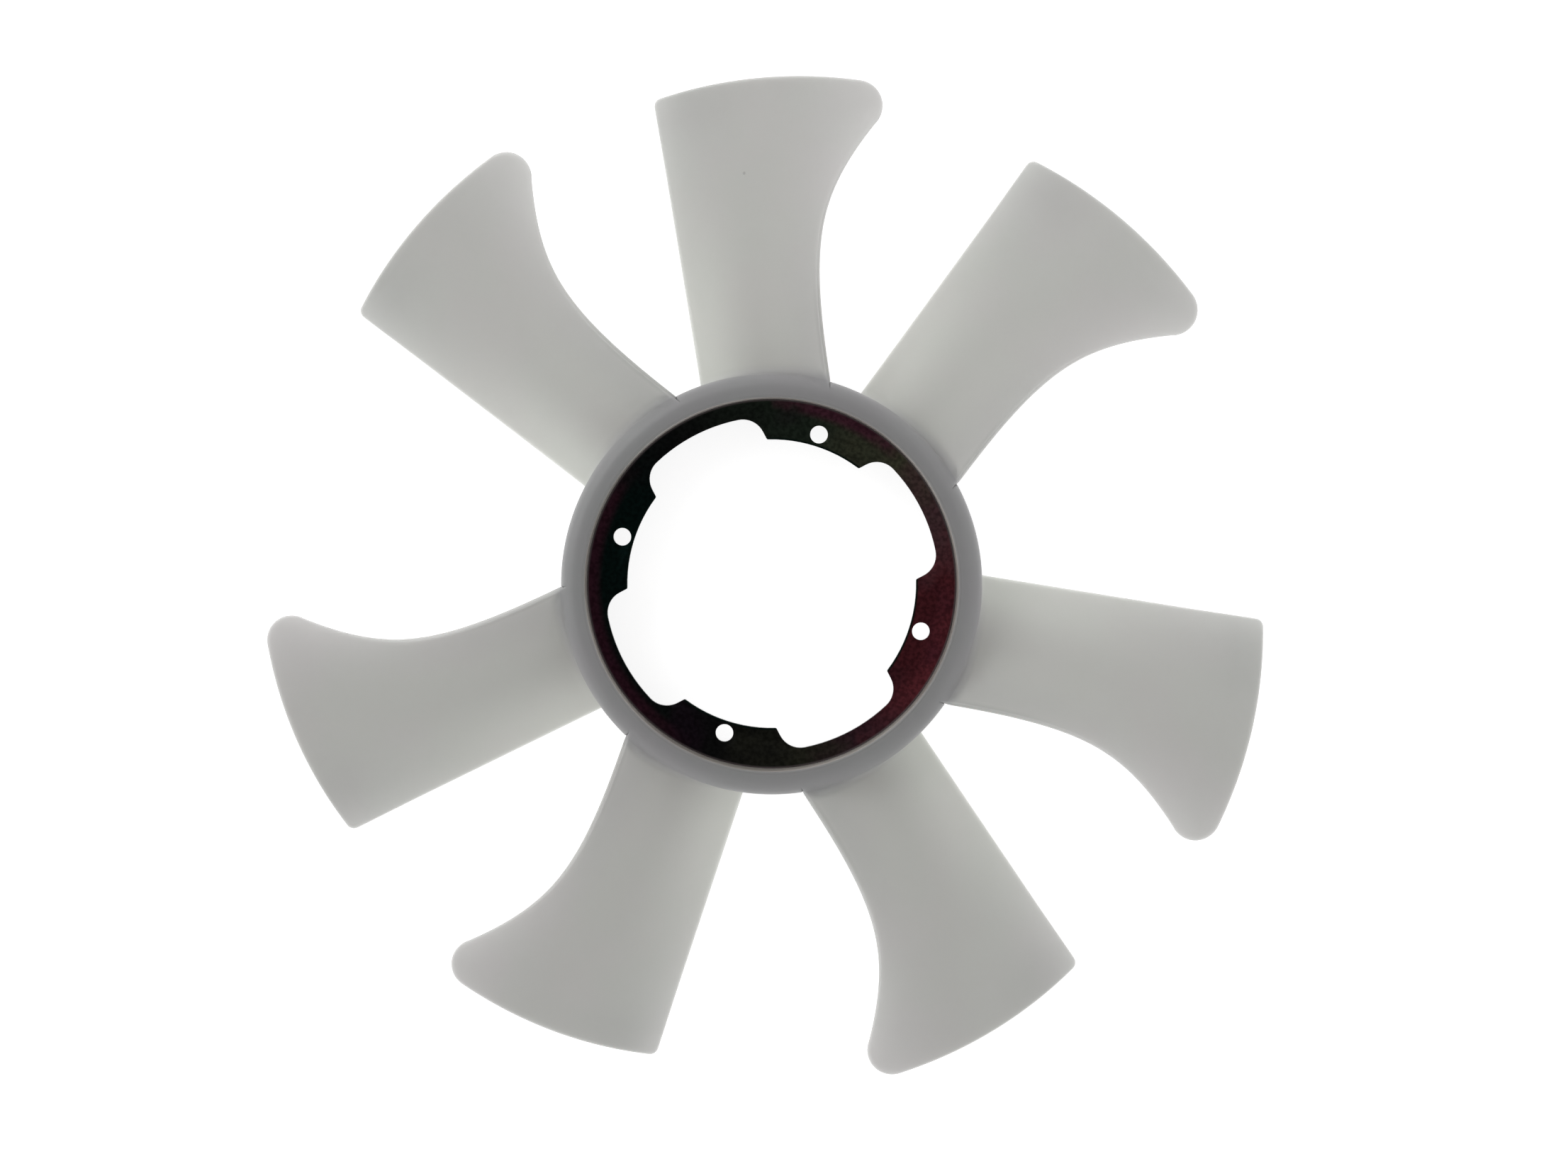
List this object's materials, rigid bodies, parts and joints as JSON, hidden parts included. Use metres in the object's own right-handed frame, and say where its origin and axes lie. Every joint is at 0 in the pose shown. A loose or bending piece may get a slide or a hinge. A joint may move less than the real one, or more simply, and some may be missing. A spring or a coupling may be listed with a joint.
{
  "type": "engine cooling fan",
  "caption": "One-piece plastic axial fan with hooked, unevenly spaced blades round a hub ring, moulded onto a stamped steel ring with bolt lugs.",
  "frame": {"origin": "centre of the bolt circle, on the front face of the steel ring", "axes": "+Z along the axis of rotation towards the front of the fan, +X through one bolt hole"},
  "size_m": [0.3938, 0.3999, 0.05],
  "materials": {
    "milky_plastic": "natural translucent plastic, satin as moulded",
    "chromated_steel": "dark iridescent chromate on zinc plated steel"
  },
  "bodies": {
    "root": {"fan_moulding": "milky_plastic", "steel_insert": "chromated_steel"}
  },
  "joints": []
}
